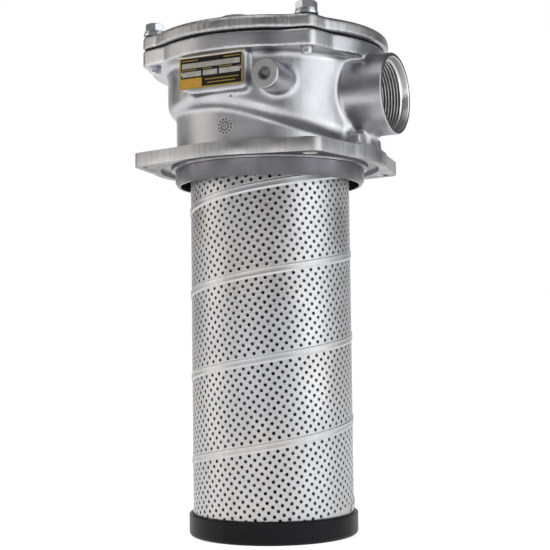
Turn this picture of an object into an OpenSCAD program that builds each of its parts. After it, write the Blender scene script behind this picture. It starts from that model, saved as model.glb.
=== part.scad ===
// Tank top return line filter: a cast head that bolts to the roof of a reservoir,
// with a side inlet, a bolted cover and a perforated element that hangs in the tank.
// Frame: Z = 0 is the underside of the tank flange, +Z is up along the element's axis,
// and +X is the axis of the inlet port. All sizes are in millimetres.

/* [Tank flange] */
// Thickness of the flange that lies on the tank roof
flange_t = 9.5; // [8:0.5:11.5]
// Radius of the turned edge between the flange's ears
flange_r = 84.7; // [83.5:0.1:86]
// Diameter of the circle that the four tank bolts lie on
tank_pcd = 176; // [174:1:182]
// Diameter of a tank bolt hole
tank_hole_d = 10.5; // [8.4:0.1:11]
// Rounding radius of a flange ear
tank_ear_r = 10.5; // [9.5:0.5:12]
// Inner radius of the seal groove in the flange's underside
groove_in_r = 71.1; // [70:0.1:72]
// Outer radius of the seal groove
groove_out_r = 78.9; // [77:0.1:80]
// Depth of the seal groove
groove_depth = 3; // [2:0.1:3.5]
// Radius of the turned spigot that locates the head in the tank hole
spigot_r = 68.1; // [67.5:0.1:69]
// How far the spigot reaches below the flange
spigot_len = 11.3; // [8:0.1:14]
// Radius of the spigot's bore
spigot_bore_r = 64.5; // [63.5:0.1:65]

/* [Head casting] */
// Outer radius of the lower barrel
barrel_r = 67; // [66.5:0.1:67.5]
// Bore of the lower barrel, where the element's upper cap sits
barrel_bore_r = 63.8; // [63.4:0.1:64.2]
// Bore of the ledge that carries the element
ledge_bore_r = 60.9; // [60.6:0.1:61.4]
// Height of the ledge's top above the flange's underside
ledge_z = 13; // [11:0.5:15]
// Thickness of the ledge
ledge_t = 9; // [6:0.5:10]
// Outer radius of the inlet bowl
bowl_r = 73; // [72:0.1:75]
// Wall of the inlet bowl
bowl_wall = 4; // [3:0.1:5]
// Radius of the bowl's rounded lower corner
bowl_corner_r = 10; // [8:0.5:12]
// Height of the bowl's floor line on the side away from the port
bowl_floor_z = 38; // [35:0.5:40]
// Fall of the bowl's floor towards the port, per millimetre
bowl_fall = 0.34; // [0.25:0.01:0.36]
// Length over which the level floor turns into the falling one
bowl_blend = 20; // [10:1:30]
// Height of the underside of the cover rim
rim_z = 70.8; // [70:0.1:73]
// Thickness of the cover rim
rim_t = 11.5; // [10:0.5:14]
// Outer radius of the cover rim
rim_r = 84.5; // [83.5:0.1:85.5]
// Rounding radius of the rim's ears, which are centred on the cover bolts
rim_ear_r = 8.4; // [8.1:0.1:10]
// Radius of the circle that the ears' straight flanks run tangent to
rim_flank_r = 80.5; // [79:0.1:82]
// Radius of the fillet under the rim
rim_fillet_r = 4; // [2:0.5:5]
// Radius of the opening under the cover
top_bore_r = 69.3; // [69.1:0.1:69.6]

/* [Inlet port] */
// Height of the port's axis
port_z = 46.7; // [45:0.1:48]
// Distance of the port's face from the head's axis
port_face_x = 98.6; // [95:0.1:104]
// Outer radius of the port boss
port_r = 28.2; // [27.5:0.1:29]
// Radius of the threaded bore, over the thread's roots
port_thread_r = 24.1; // [23:0.1:24.5]
// Length of the threaded bore
port_thread_len = 24; // [20:0.5:26]
// Radius of the smooth countersink at the mouth
port_mouth_r = 25.2; // [24.8:0.1:26]
// Depth of the smooth mouth
port_mouth_len = 4.5; // [2:0.5:5]
// Radius of the passage behind the thread
port_passage_r = 20.5; // [18:0.1:21.5]
// Half width of the cross wall under the port
port_foot_half = 20.5; // [18:0.5:24]
// Distance of the cross wall's outer face from the head's axis
port_foot_x = 79.7; // [76:0.1:82]
// Half width of the web between the cross wall and the port
port_web_half = 8; // [5:0.5:10]

/* [Gauge boss and nameplate] */
// Place of the gauge boss along X
gauge_x = 39; // [38:0.5:40]
// Height of the gauge boss
gauge_z = 51.7; // [50:0.1:53]
// How far the gauge boss's face stands out from the bowl
gauge_stand = 9; // [7:0.5:11]
// Radius of the gauge boss
gauge_boss_r = 10; // [9:0.5:10.5]
// Radius of the pipe plug in the gauge boss
plug_r = 6.58; // [6:0.01:7]
// Length of the pipe plug
plug_len = 10; // [8:0.5:12]
// Width across flats of the plug's hex socket
plug_socket_af = 7; // [5:0.5:8]
// How far the nameplate pad's face stands out from the bowl
pad_stand = 3.5; // [3:0.1:5]
// Left end of the pad
pad_x0 = -29; // [-32:0.5:-27]
// Right end of the pad
pad_x1 = 22.3; // [20:0.1:23]
// Height of the pad's lower edge
pad_z0 = 44.6; // [43:0.1:46]
// Width of the nameplate
plate_w = 49; // [44:0.5:49.5]
// Height of the nameplate
plate_h = 22; // [18:0.5:23]
// Thickness of the nameplate
plate_t = 0.6; // [0.4:0.1:1]

/* [Cover] */
// Thickness of the flat seal between the head and the cover
seal_t = 1; // [0.8:0.1:1.5]
// Outer radius of the cover
cover_r = 87; // [86:0.1:88]
// Thickness of the cover at its rim
cover_t = 9.5; // [8:0.5:12]
// Radius of the rounding on the cover's upper edge
cover_edge_r = 3; // [2:0.1:4]
// Height of the cover's raised centre over its rim
cover_dome_h = 6; // [4:0.5:7]
// Radius of the raised centre at its top
cover_dome_r = 44; // [40:1:48]
// Depth of the ring that locates the cover in the head
cover_spigot_len = 4; // [3:0.5:6]
// Diameter of the circle that the cover bolts lie on
cover_pcd = 168; // [166:0.5:170]

/* [Fasteners] */
// Nominal diameter of a cover bolt
bolt_d = 8; // [6:0.5:8]
// Length of a cover bolt under its head
bolt_len = 30; // [26:1:36]
// Width across flats of a bolt head
bolt_af = 13; // [11:0.5:14]
// Height of a bolt head
bolt_head_h = 5.3; // [4:0.1:6]
// Outer diameter of a plain washer
washer_d = 16; // [14:0.5:17]
// Thickness of a plain washer
washer_t = 1.6; // [1.2:0.1:2]
// Outer diameter of a spring washer
lock_d = 14.8; // [13:0.1:15.5]
// Thickness of a spring washer
lock_t = 2; // [1.4:0.1:2.2]

/* [Element] */
// Outer radius of the perforated outer tube
tube_r = 57.15; // [56.5:0.05:57.5]
// Wall of the outer tube
tube_wall = 0.9; // [0.6:0.1:1.2]
// Height of the lower cap's underside, below the flange's underside
element_drop = 259.1; // [200:0.1:400]
// Pitch of the spiral lock seam
seam_pitch = 62.2; // [50:0.5:80]
// Width of the lock seam across its run
seam_w = 5; // [4:0.1:6]
// How far the lock seam stands out of the tube
seam_h = 0.8; // [0.5:0.1:1]
// Outer radius of the end caps
cap_r = 60.1; // [59.4:0.1:60.3]
// Wall of the end caps
cap_wall = 2.2; // [1.6:0.1:2.2]
// Height of the lower cap
cap_h = 15.7; // [14:0.1:18]
// Radius of the lower cap's rounded bottom edge
cap_edge_r = 3; // [1:0.5:4]
// Outer radius of the perforated core
core_r = 32; // [31:0.1:34]
// Number of pleats in the filter pack
pleats = 60; // [40:1:72]
// Thickness of the upper cap's flange
flange_cap_t = 3; // [2:0.1:4]
// Thickness of the square ring under that flange
ring_t = 1.8; // [1.5:0.1:2.5]

/* [Hold-down spring] */
// Mean radius of the hold-down spring
hold_r = 42; // [40:0.5:44]
// Wire diameter of the hold-down spring
hold_wire = 4; // [3:0.1:5]
// Turns of the hold-down spring
hold_turns = 5; // [4:1:6]

/* [Bypass valve] */
// Radius of the valve's opening in the lower cap
seat_r = 14; // [12:0.5:15]
// Radius of the valve disc
disc_r = 18; // [17:0.5:19]
// Thickness of the valve disc
disc_t = 2.5; // [2:0.1:3]
// Radius of the well that shelters the valve disc
well_r = 23; // [21:0.5:24]
// How far the valve disc travels
valve_travel = 6; // [4:0.5:6.5]
// Radius of the valve stem
stem_r = 3; // [2.5:0.1:3.5]
// Running clearance of the stem in its guide, on the radius
stem_clear = 0.08; // [0.02:0.01:0.1]
// Mean radius of the bypass spring
bypass_r = 7; // [6.5:0.1:7.5]
// Wire diameter of the bypass spring
bypass_wire = 1.6; // [1.2:0.1:1.8]
// Fitted length of the bypass spring
bypass_spring_len = 20; // [17:0.5:24]

/* [Hidden] */
$fn = 96;
eps = 0.01;

// Clearances
seat_gap = 0.3;      // between curved faces that only sit near each other
bolt_gap = 0.05;     // between a bolt's shank and its tapped hole
cap_clear = 0.3;     // between the upper cap's flange and the barrel bore
pot_gap = 0.3;       // between the outer tube and a cap's wall
hole_gap = 0.5;      // around a bolt in the cover, on the radius
cover_gap = 0.5;     // between the cover's locating ring and the opening

// Faces that stand out from the bowl, as distances from the head's axis plane
gauge_face_y = bowl_r + gauge_stand;
pad_y = bowl_r + pad_stand;

// Heights of the stack on top of the head
rim_top = rim_z + rim_t;
cover_z = rim_top + seal_t;
cover_top = cover_z + cover_t;
lock_z = cover_top + washer_t;
bolt_z = lock_z + lock_t;

// Element
cap_floor_t = 2.6;
cap_z = -element_drop;
cap_bore_r = tube_r + pot_gap;
flange_cap_z = ledge_z + ring_t;
flange_cap_top = flange_cap_z + flange_cap_t;
flange_cap_r = barrel_bore_r - cap_clear;
pack_bottom = cap_z + cap_floor_t;
pack_top = flange_cap_z;
pack_len = pack_top - pack_bottom;
core_wall = 1;
neck_r = core_r + 3.5;
neck_h = 7;

// Bypass valve
well_plate_t = 2.5;
seat_z = cap_z + cap_h - well_plate_t;
hub_r = stem_r + 3;
hub_h = 9;
hub_top = seat_z + hub_h;
disc_lip_t = 0.8;
disc_z = seat_z - disc_lip_t - disc_t;
retainer_t = 1.5;
retainer_z = hub_top + bypass_spring_len;

// Faces of a port bored along X
port_relief_x = port_face_x - port_mouth_len;
port_bore_end = port_face_x - port_mouth_len - port_thread_len;

// Number of facets round the bowl's lofted skin
skin_n = 72;

corner_angles = [45, 135, 225, 315];

// ---- shared forms ----

// Outline through four ears: each rounded tip, and its two straight flanks, which run
// tangent to a circle just inside the turned edge
function ear_outline(c, tip_r, rv) =
    let (phi = acos((rv - tip_r) / c)) [
        for (q = corner_angles) each [
            [rv * cos(q - phi), rv * sin(q - phi)],
            for (i = [-8:8]) let (a = phi * i / 8)
                [c * cos(q) + tip_r * cos(q + a), c * sin(q) + tip_r * sin(q + a)],
            [rv * cos(q + phi), rv * sin(q + phi)]
        ]
    ];

// Disc with an ear at each cover bolt, as the rim, seal and cover share it
module rim_plate(r, inset, h) linear_extrude(h) union() {
    circle(r = r, $fn = 180);
    polygon(ear_outline(cover_pcd / 2, rim_ear_r - inset, rim_flank_r - inset));
}

// Copies its child to each cover bolt
module at_bolt(i) {
    a = corner_angles[i - 1];
    rotate([0, 0, a]) translate([cover_pcd / 2, 0, 0]) children();
}

// Hexagonal prism of a given width across flats
module hex(af, h) {
    cylinder(r = af / sqrt(3), h = h, $fn = 6);
}

// Wire wound into a coil with closed, level ends. Its end faces lie at z = 0 and z = h.
module coil(r, wire, h, turns, steps, sides) {
    n = turns * steps;
    pitch_h = h - wire;
    // The wire stays level for the first and the last three quarters of a turn
    function climb(t) = let (s = (t * turns - 0.75) / (turns - 1.5)) max(0, min(1, s));
    pts = [
        for (i = [0:n]) let (a = 360 * i / steps, z = wire / 2 + pitch_h * climb(i / n))
            for (k = [0:sides - 1]) let (b = 360 * k / sides)
                [(r + wire / 2 * cos(b)) * cos(a), (r + wire / 2 * cos(b)) * sin(a),
                 z + wire / 2 * sin(b)]
    ];
    walls = [
        for (i = [0:n - 1], k = [0:sides - 1])
            let (p = i * sides + k, q = i * sides + (k + 1) % sides)
                each [[p, q, p + sides], [q, q + sides, p + sides]]
    ];
    first = [for (k = [0:sides - 1]) sides - 1 - k];
    last = [for (k = [0:sides - 1]) n * sides + k];
    polyhedron(points = pts, faces = concat(walls, [first], [last]));
}

// ---- head ----

// Height of the bowl's floor line at a place along the port's axis
function floor_line(x) =
    bowl_floor_z - bowl_fall * (x + sqrt(x * x + bowl_blend * bowl_blend)) / 2;

// Lofted bowl whose floor falls towards the port. Rings are [radius, height, level],
// where a ring that isn't level follows the floor line.
module bowl_loft(rings, r) {
    n = skin_n;
    m = len(rings);
    function ring(g) = [
        for (i = [0:n - 1]) let (a = 360 * i / n)
            [g[0] * cos(a), g[0] * sin(a), g[1] + (g[2] ? 0 : floor_line(r * cos(a)))]
    ];
    pts = concat(
        [for (g = rings) each ring(g)],
        [[0, 0, rings[0][1] + floor_line(0)], [0, 0, rings[m - 1][1]]]
    );
    walls = [
        for (j = [0:m - 2], i = [0:n - 1])
            let (p = j * n + i, q = j * n + (i + 1) % n)
                each [[p, p + n, q], [q, p + n, q + n]]
    ];
    floor_fan = [for (i = [0:n - 1]) [i, (i + 1) % n, m * n]];
    top_fan = [for (i = [0:n - 1]) [(m - 1) * n + (i + 1) % n, (m - 1) * n + i, m * n + 1]];
    polyhedron(points = pts, faces = concat(walls, floor_fan, top_fan));
}

// Rings of the rounded lower corner, which leaves the wall at cross_r on the floor line
function corner_rings(r, corner, cross_r, lift) =
    let (
        a0 = 55, slope = cos(a0) / sin(a0),
        r0 = r - corner + corner * cos(a0),
        zc = corner * sin(a0) + (r0 - cross_r) * slope
    )
    concat(
        [[cross_r - 3, lift - 3 * slope, false]],
        [for (a = [-a0:11:0])
            [r - corner + corner * cos(a), lift + zc + corner * sin(a), false]]
    );

module bowl_outside() {
    f = rim_fillet_r;
    bowl_loft(
        concat(
            corner_rings(bowl_r, bowl_corner_r, barrel_r, 0),
            [for (a = [0:18:90])
                [bowl_r + f * (1 - cos(a)), rim_z + 0.15 - f + f * sin(a), true]],
            [[bowl_r + f, rim_z + rim_t / 2, true]]
        ),
        bowl_r
    );
}

module bowl_inside() {
    r = bowl_r - bowl_wall;
    bowl_loft(
        concat(
            corner_rings(r, bowl_corner_r - bowl_wall / 2, barrel_bore_r, bowl_wall + 0.5),
            [[r, rim_z + rim_t / 2, true]]
        ),
        bowl_r
    );
}

module tank_flange() linear_extrude(flange_t) union() {
    circle(r = flange_r, $fn = 180);
    polygon(ear_outline(tank_pcd / 2, tank_ear_r, flange_r - 1.4));
}

// Spigot and barrel in one turned profile
module barrel() {
    edge = 1.8;
    rotate_extrude($fn = 180) polygon([
        [0, -spigot_len], [spigot_r - edge, -spigot_len],
        [spigot_r, -spigot_len + 1.5 * edge], [spigot_r, flange_t / 2],
        [barrel_r, flange_t / 2], [barrel_r, bowl_floor_z + 4], [0, bowl_floor_z + 4]
    ]);
}

// Flat pad for the nameplate, with a clipped lower corner and a rounded right edge
module plate_pad() {
    round_r = 2;
    back = -bowl_r + 22;
    intersection() {
        translate([0, back, 0]) rotate([90, 0, 0]) linear_extrude(pad_y + back + 1)
            polygon([
                [pad_x0, rim_z + 1], [pad_x0, pad_z0 + 4], [pad_x0 + 8, pad_z0],
                [pad_x1 - 3, pad_z0], [pad_x1 - 0.9, pad_z0 + 0.9],
                [pad_x1, pad_z0 + 3], [pad_x1, rim_z + 1]
            ]);
        linear_extrude(rim_top) polygon(concat(
            [[pad_x1 + 1, back + 5], [pad_x0 - 1, back + 5], [pad_x0 - 1, -pad_y]],
            [for (i = [0:6]) let (a = -90 + 15 * i)
                [pad_x1 - round_r + round_r * cos(a), -pad_y + round_r * (1 + sin(a))]],
            [[pad_x1 + 0.1, -pad_y + round_r + 1], [pad_x1 + 1, back + 4]]
        ));
    }
}

// Foot that carries the port on the flange: a cross wall and a web in its middle
module port_foot() {
    low = flange_t / 2;
    web_x = port_foot_x + 4.5;
    translate([barrel_r - 6, -port_foot_half, low])
        cube([port_foot_x - barrel_r + 6, 2 * port_foot_half, port_z - low]);
    rotate([90, 0, 0]) translate([0, 0, -port_web_half]) linear_extrude(2 * port_web_half)
        polygon([
            [port_foot_x - 2, low], [web_x - 0.6, low], [web_x - 2.2, flange_t + 5],
            [web_x - 1, port_z - port_r + 2], [port_foot_x - 2, port_z - port_r + 6]
        ]);
}

module gauge_boss() {
    translate([gauge_x, 0, gauge_z]) rotate([90, 0, 0])
        translate([0, 0, bowl_r - 30]) cylinder(r = gauge_boss_r, h = gauge_face_y - bowl_r + 30);
}

module head_bores() {
    // Way up from the tank, the ledge and the barrel
    translate([0, 0, -spigot_len - 1])
        cylinder(r = spigot_bore_r, h = spigot_len + 1 + ledge_z - ledge_t, $fn = 180);
    translate([0, 0, -1]) cylinder(r = ledge_bore_r, h = ledge_z + 2, $fn = 180);
    translate([0, 0, ledge_z])
        cylinder(r = barrel_bore_r, h = rim_z - ledge_z, $fn = 180);
    translate([0, 0, rim_z + 2]) cylinder(r = top_bore_r, h = rim_t, $fn = 180);
    bowl_inside();
    // Seal groove in the flange
    translate([0, 0, -1]) difference() {
        cylinder(r = groove_out_r, h = groove_depth + 1, $fn = 180);
        translate([0, 0, -1]) cylinder(r = groove_in_r, h = groove_depth + 3, $fn = 180);
    }
    for (a = corner_angles) rotate([0, 0, a]) {
        translate([tank_pcd / 2, 0, -1]) cylinder(d = tank_hole_d, h = flange_t + 2);
        translate([cover_pcd / 2, 0, rim_z - 1])
            cylinder(d = bolt_d + 2 * bolt_gap, h = rim_t + 2);
    }
    // Inlet: passage, thread and mouth
    translate([barrel_r / 2, 0, port_z]) rotate([0, 90, 0])
        cylinder(r = port_passage_r, h = port_face_x - barrel_r / 2 - 1);
    translate([port_bore_end, 0, port_z]) rotate([0, 90, 0])
        cylinder(r = port_thread_r, h = port_thread_len + 1);
    translate([port_relief_x, 0, port_z]) rotate([0, 90, 0])
        cylinder(r1 = port_thread_r + 0.4, r2 = port_mouth_r, h = port_mouth_len + eps);
    // Gauge port
    translate([gauge_x, -gauge_face_y + plug_len + 2, gauge_z]) rotate([90, 0, 0])
        cylinder(r = plug_r + bolt_gap, h = plug_len + 3);
    translate([gauge_x, -bowl_r + 30, gauge_z]) rotate([90, 0, 0])
        cylinder(r = 3.5, h = gauge_face_y - bowl_r + 30 - plug_len);
    // Holes for the nameplate's pins
    for (x = [plate_x0 + 2.5, plate_x0 + plate_w - 2.5])
        translate([x, -pad_y + 5, plate_mid_z]) rotate([90, 0, 0]) cylinder(r = pin_r, h = 6);
}

module head_casting() color("silver") difference() {
    union() {
        tank_flange();
        barrel();
        bowl_outside();
        translate([0, 0, rim_z]) rim_plate(rim_r, 0, rim_t);
        translate([barrel_r / 2, 0, port_z]) rotate([0, 90, 0])
            cylinder(r = port_r, h = port_face_x - barrel_r / 2, $fn = 120);
        port_foot();
        plate_pad();
        gauge_boss();
    }
    head_bores();
}

// ---- cover and its fasteners ----

// Turned outline of the cover: rim, rounded edge, slope, flat centre, then the inside
module cover_body() {
    e = cover_edge_r;
    t = cover_t;
    in_r = top_bore_r - cover_gap;
    slope_r = cover_r - 24;
    roof = 6;
    rotate_extrude($fn = 180) difference() {
        union() {
            polygon([
                [0, 0], [cover_r, 0], [cover_r, t - e], [cover_r - e, t],
                [slope_r, t], [cover_dome_r, t + cover_dome_h], [0, t + cover_dome_h]
            ]);
            translate([cover_r - e, t - e]) circle(r = e, $fn = 48);
            translate([in_r - 6, -cover_spigot_len]) square([6, cover_spigot_len + 1]);
        }
        polygon([
            [0, -1], [in_r - 6, -1], [in_r - 6, t - roof],
            [hold_r + hold_wire / 2 + 1, t + cover_dome_h - roof],
            [0, t + cover_dome_h - roof]
        ]);
    }
}

module cover() color("gainsboro") difference() {
    translate([0, 0, cover_z]) {
        cover_body();
        difference() {
            rim_plate(cover_r - cover_edge_r, 0, cover_t);
            translate([0, 0, -1]) cylinder(r = top_bore_r + 2, h = cover_t + 2, $fn = 180);
        }
        // Low cast pad near the edge, over the nameplate
        rotate([0, 0, -81]) translate([66, 0, cover_t - 2])
            cylinder(r = 13, h = 5, $fn = 64);
        // Collar that centres the hold-down spring
        translate([0, 0, spring_roof - cover_z - 2]) difference() {
            cylinder(r = hold_r - hold_wire / 2 - 1, h = 4);
            translate([0, 0, -1]) cylinder(r = hold_r - hold_wire / 2 - 5, h = 6);
        }
    }
    for (a = corner_angles) rotate([0, 0, a]) translate([cover_pcd / 2, 0, cover_z - 1])
        cylinder(r = bolt_d / 2 + hole_gap, h = cover_t + 2);
}

// Inside face of the cover's raised centre, where the hold-down spring bears
spring_roof = cover_z + cover_t + cover_dome_h - 6;

module cover_seal() color("black") translate([0, 0, rim_top]) difference() {
    inset = 0.8;
    rim_plate(rim_r - inset, inset, seal_t);
    translate([0, 0, -1]) cylinder(r = top_bore_r, h = seal_t + 2, $fn = 180);
    for (a = corner_angles) rotate([0, 0, a]) translate([cover_pcd / 2, 0, -1])
        cylinder(r = bolt_d / 2 + hole_gap, h = seal_t + 2);
}

// Hex head screw with a chamfered head and a pointed end
module bolt() color("lightgray") {
    r = bolt_d / 2;
    corner = bolt_af / sqrt(3);
    translate([0, 0, bolt_z]) intersection() {
        rotate([0, 0, 20]) hex(bolt_af, bolt_head_h);
        rotate_extrude() polygon([
            [0, 0], [corner + 1, 0], [corner + 1, bolt_head_h - 1.6],
            [bolt_af / 2 - 0.4, bolt_head_h], [0, bolt_head_h]
        ]);
    }
    rotate_extrude() polygon([
        [0, bolt_z + eps], [r, bolt_z + eps], [r, bolt_z - bolt_len + 1],
        [r - 1, bolt_z - bolt_len], [0, bolt_z - bolt_len]
    ]);
}

module plain_washer() color("silver") translate([0, 0, cover_top]) difference() {
    cylinder(d = washer_d, h = washer_t);
    translate([0, 0, -1]) cylinder(r = bolt_d / 2 + 0.2, h = washer_t + 2);
}

// Split washer
module lock_washer() color("dimgray") translate([0, 0, lock_z]) difference() {
    cylinder(d = lock_d, h = lock_t);
    translate([0, 0, -1]) cylinder(r = bolt_d / 2 + 0.15, h = lock_t + 2);
    rotate([0, 0, 200]) translate([0, 0, lock_t / 2]) rotate([35, 0, 0])
        translate([0, -0.5, -lock_t]) cube([lock_d, 1, 2 * lock_t]);
}

// ---- gauge plug and nameplate ----

module gauge_port_plug() color("gray")
    translate([gauge_x, -gauge_face_y + 0.4, gauge_z]) rotate([-90, 0, 0]) difference() {
        rotate_extrude() polygon([
            [0, 0], [plug_r - 0.6, 0], [plug_r, 0.6], [plug_r, plug_len], [0, plug_len]
        ]);
        translate([0, 0, -1]) rotate([0, 0, 12]) hex(plug_socket_af, plug_len * 0.55 + 1);
    }

plate_x0 = (pad_x0 + pad_x1) / 2 - plate_w / 2 - 0.6;
plate_z1 = rim_z - 0.5;
plate_mid_z = plate_z1 - plate_h / 2;
pin_r = 1;

module nameplate() color("goldenrod") difference() {
    translate([plate_x0, -pad_y - plate_t, plate_z1 - plate_h])
        cube([plate_w, plate_t, plate_h]);
    for (x = [plate_x0 + 2.5, plate_x0 + plate_w - 2.5])
        translate([x, -pad_y + 1, plate_mid_z]) rotate([90, 0, 0])
            cylinder(r = pin_r + 0.05, h = plate_t + 2, $fn = 32);
}

// Round-headed drive pin
module nameplate_pin(x) color("silver")
    translate([x, -pad_y - plate_t, plate_mid_z]) rotate([90, 0, 0]) rotate_extrude($fn = 32)
        polygon([
            [0, -4], [pin_r, -4], [pin_r, 0], [pin_r * 1.5, 0],
            [pin_r * 1.2, 0.45], [pin_r * 0.5, 0.65], [0, 0.65]
        ]);

// ---- element ----

// Outer tube, wound from a strip
module element_tube() color("lightsteelblue") translate([0, 0, pack_bottom]) difference() {
    cylinder(r = tube_r, h = tube_top - pack_bottom, $fn = 180);
    translate([0, 0, -1])
        cylinder(r = tube_r - tube_wall, h = tube_top - pack_bottom + 2, $fn = 180);
}

// Folded seam of the strip, which climbs the tube as a helix and ends clear of both caps.
// It has its own node, so that the tube under it keeps a true round wall.
module lock_seam() color("lightsteelblue") {
    steps = 60;
    lead = atan(seam_pitch / (2 * PI * tube_r));
    half = seam_w / cos(lead) / 2;
    low = cap_z + cap_h + 1 + half;
    high = flange_cap_z - upper_skirt - 1 - half;
    n = ceil(steps * (high - low) / seam_pitch);
    r0 = (tube_r + 0.02) / cos(180 / steps);
    r1 = tube_r + seam_h;
    section = [
        [r0, -half], [r0 + 0.1, -half], [r1, 0.8 - half],
        [r1, half - 0.8], [r0 + 0.1, half], [r0, half]
    ];
    m = len(section);
    pts = [
        for (i = [0:n])
            let (z = low + (high - low) * i / n, a = seam_turn + 360 * z / seam_pitch)
                for (q = section) [q[0] * cos(a), q[0] * sin(a), z + q[1]]
    ];
    walls = [
        for (i = [0:n - 1], k = [0:m - 1])
            let (p = i * m + k, q = i * m + (k + 1) % m)
                each [[p, q, p + m], [q, q + m, p + m]]
    ];
    first = [for (k = [0:m - 1]) m - 1 - k];
    last = [for (k = [0:m - 1]) n * m + k];
    polyhedron(points = pts, faces = concat(walls, [first], [last]));
}

// Turn of the seam where it would pass the underside of the flange
seam_turn = -62.7 + 360 * 71.3 / seam_pitch;
upper_skirt = 14;
tube_top = flange_cap_z - 1;

// Perforated core that carries the pleats
module element_core() color("silver") translate([0, 0, pack_bottom]) difference() {
    cylinder(r = core_r, h = pack_len);
    translate([0, 0, -1]) cylinder(r = core_r - core_wall, h = pack_len + 2);
    rows = 7;
    for (j = [0:rows - 1], i = [0:7])
        translate([0, 0, pack_len * (j + 1.5) / (rows + 2)])
            rotate([0, 0, 45 * i + 22.5 * (j % 2)]) translate([core_r - 4, 0, 0])
                rotate([0, 90, 0]) cylinder(r = 3.5, h = 6, $fn = 32);
}

// Pleated pack between the core and the outer tube
module filter_pack() color("whitesmoke") {
    out_r = tube_r - tube_wall - seat_gap;
    in_r = core_r + seat_gap;
    t = 0.45;
    step = 180 / pleats;
    translate([0, 0, pack_bottom]) linear_extrude(pack_len) difference() {
        polygon([for (i = [0:2 * pleats - 1]) let (q = (i % 2 == 0) ? out_r : in_r + 2 * t)
            [q * cos(i * step), q * sin(i * step)]]);
        polygon([for (i = [0:2 * pleats - 1]) let (q = (i % 2 == 0) ? out_r - 4 * t : in_r)
            [q * cos(i * step), q * sin(i * step)]]);
    }
}

// Upper cap: a flange that rests in the barrel, a skirt round the tube and a neck
module upper_cap() color("dimgray") {
    foot = flange_cap_z - upper_skirt;
    rotate_extrude($fn = 180) polygon([
        [core_r, flange_cap_z], [cap_bore_r, flange_cap_z], [cap_bore_r, foot],
        [cap_r, foot], [cap_r, flange_cap_z], [flange_cap_r, flange_cap_z],
        [flange_cap_r, flange_cap_top], [neck_r, flange_cap_top],
        [neck_r, flange_cap_top + neck_h - 1], [neck_r - 1, flange_cap_top + neck_h],
        [core_r, flange_cap_top + neck_h]
    ]);
}

// Square-section ring between the upper cap and the ledge
module element_ring() color("black") translate([0, 0, ledge_z]) difference() {
    cylinder(r = flange_cap_r, h = ring_t, $fn = 180);
    translate([0, 0, -1]) cylinder(r = ledge_bore_r + 0.2, h = ring_t + 2, $fn = 180);
}

// Lower cap: a cup round the tube, with the valve's well and its stem guide
module lower_cap() color([0.12, 0.12, 0.13]) {
    e = cap_edge_r;
    rotate_extrude($fn = 180) polygon(concat(
        [[seat_r, seat_z], [well_r, seat_z], [well_r, cap_z]],
        [for (a = [-90:15:0]) [cap_r - e + e * cos(a), cap_z + e + e * sin(a)]],
        [
            [cap_r, cap_z + cap_h - 0.6], [cap_r - 0.6, cap_z + cap_h],
            [cap_bore_r + 0.2, cap_z + cap_h], [cap_bore_r, cap_z + cap_h - 0.2],
            [cap_bore_r, pack_bottom], [well_r + cap_wall, pack_bottom],
            [well_r + cap_wall, seat_z + well_plate_t], [seat_r, seat_z + well_plate_t]
        ]
    ));
    // Guide: a bored hub on four arms across the opening
    difference() {
        union() {
            translate([0, 0, seat_z + 0.5]) cylinder(r = hub_r, h = hub_h - 0.5);
            for (a = [0, 90]) rotate([0, 0, a])
                translate([-seat_r - 1, -1.25, seat_z + 0.5])
                    cube([2 * seat_r + 2, 2.5, hub_h - 2.5]);
        }
        translate([0, 0, seat_z - 1]) cylinder(r = stem_r + stem_clear, h = hub_h + 3);
    }
}

// ---- springs ----

module hold_down_spring() color("gainsboro") translate([0, 0, flange_cap_top])
    coil(hold_r, hold_wire, spring_roof - flange_cap_top, hold_turns, 24, 8);

module bypass_spring() color("gainsboro") translate([0, 0, hub_top])
    coil(bypass_r, bypass_wire, bypass_spring_len, 5, 18, 6);

// ---- bypass valve ----

// Disc and stem in one turned piece
module bypass_disc() color("silver") rotate_extrude() polygon([
    [0, disc_z], [disc_r - 0.8, disc_z], [disc_r, disc_z + 0.8], [disc_r, disc_z + disc_t],
    [stem_r + 3, disc_z + disc_t], [stem_r, disc_z + disc_t + 1],
    [stem_r, retainer_z], [stem_r - 0.7, retainer_z], [stem_r - 0.7, retainer_z + retainer_t],
    [stem_r, retainer_z + retainer_t], [stem_r, retainer_z + retainer_t + 1.5],
    [stem_r - 0.8, retainer_z + retainer_t + 2.3], [0, retainer_z + retainer_t + 2.3]
]);

// Rubber face of the disc
module bypass_washer() color("black") translate([0, 0, disc_z + disc_t]) difference() {
    cylinder(r = disc_r - 0.5, h = disc_lip_t);
    translate([0, 0, -1]) cylinder(r = seat_r - 2.5, h = disc_lip_t + 2);
}

// Clip that holds the spring on the stem
module bypass_retainer() color("gray") translate([0, 0, retainer_z]) difference() {
    cylinder(r = bypass_r + 2.5, h = retainer_t);
    translate([0, 0, -1]) cylinder(r = stem_r - 0.7 + bolt_gap, h = retainer_t + 2);
}

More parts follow.
